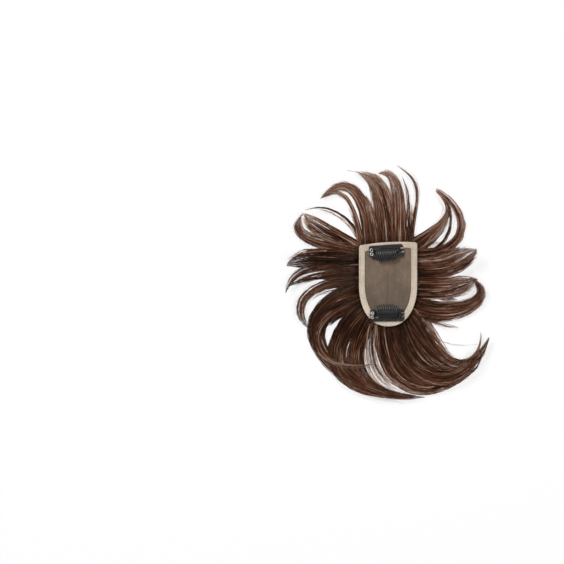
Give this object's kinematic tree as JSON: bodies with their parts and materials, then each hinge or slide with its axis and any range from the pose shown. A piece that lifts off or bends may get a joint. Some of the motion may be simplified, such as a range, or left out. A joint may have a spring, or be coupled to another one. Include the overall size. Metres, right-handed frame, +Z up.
{
  "type": "human hair hairpiece",
  "caption": "Clip-in hair topper lying on its hair, scalp side up: a dished net base in a tape edge, a snap clip at each end, and curved locks of hair fanned out all round.",
  "frame": {"origin": "on the surface that the hair lies on, under the middle of the whole piece", "axes": "+Y towards the straight front end of the base, +X to the right of the base seen from above, +Z up, the way the scalp side of the base faces"},
  "size_m": [0.2082, 0.2386, 0.0219],
  "materials": {
    "hair": "brown human hair with a soft gloss",
    "net": "fine taupe net",
    "tape": "ribbed cream tape",
    "clip_steel": "gloss black paint on spring steel",
    "clip_rubber": "satin black rubber"
  },
  "bodies": {
    "hairpiece": {"base_net": "net", "edge_tape": "tape", "front_clip_frame": "clip_steel", "front_clip_grip": "clip_rubber", "back_clip_frame": "clip_steel", "back_clip_grip": "clip_rubber", "hair_front": "hair", "hair_left": "hair", "hair_back": "hair", "hair_right": "hair"},
    "front_comb": {"front_clip_comb": "clip_steel"},
    "back_comb": {"back_clip_comb": "clip_steel"}
  },
  "joints": [
    {"name": "front_clip_snap", "type": "hinge", "parent": "hairpiece", "child": "front_comb", "pos_m": [-0.00134, 0.03482, 0.01836], "axis": [-0.9976, -0.0698, 0], "range_deg": [0, 35]},
    {"name": "back_clip_snap", "type": "hinge", "parent": "hairpiece", "child": "back_comb", "pos_m": [-0.00029, -0.0338, 0.01798], "axis": [0.9998, 0.0174, 0], "range_deg": [0, 35]}
  ]
}
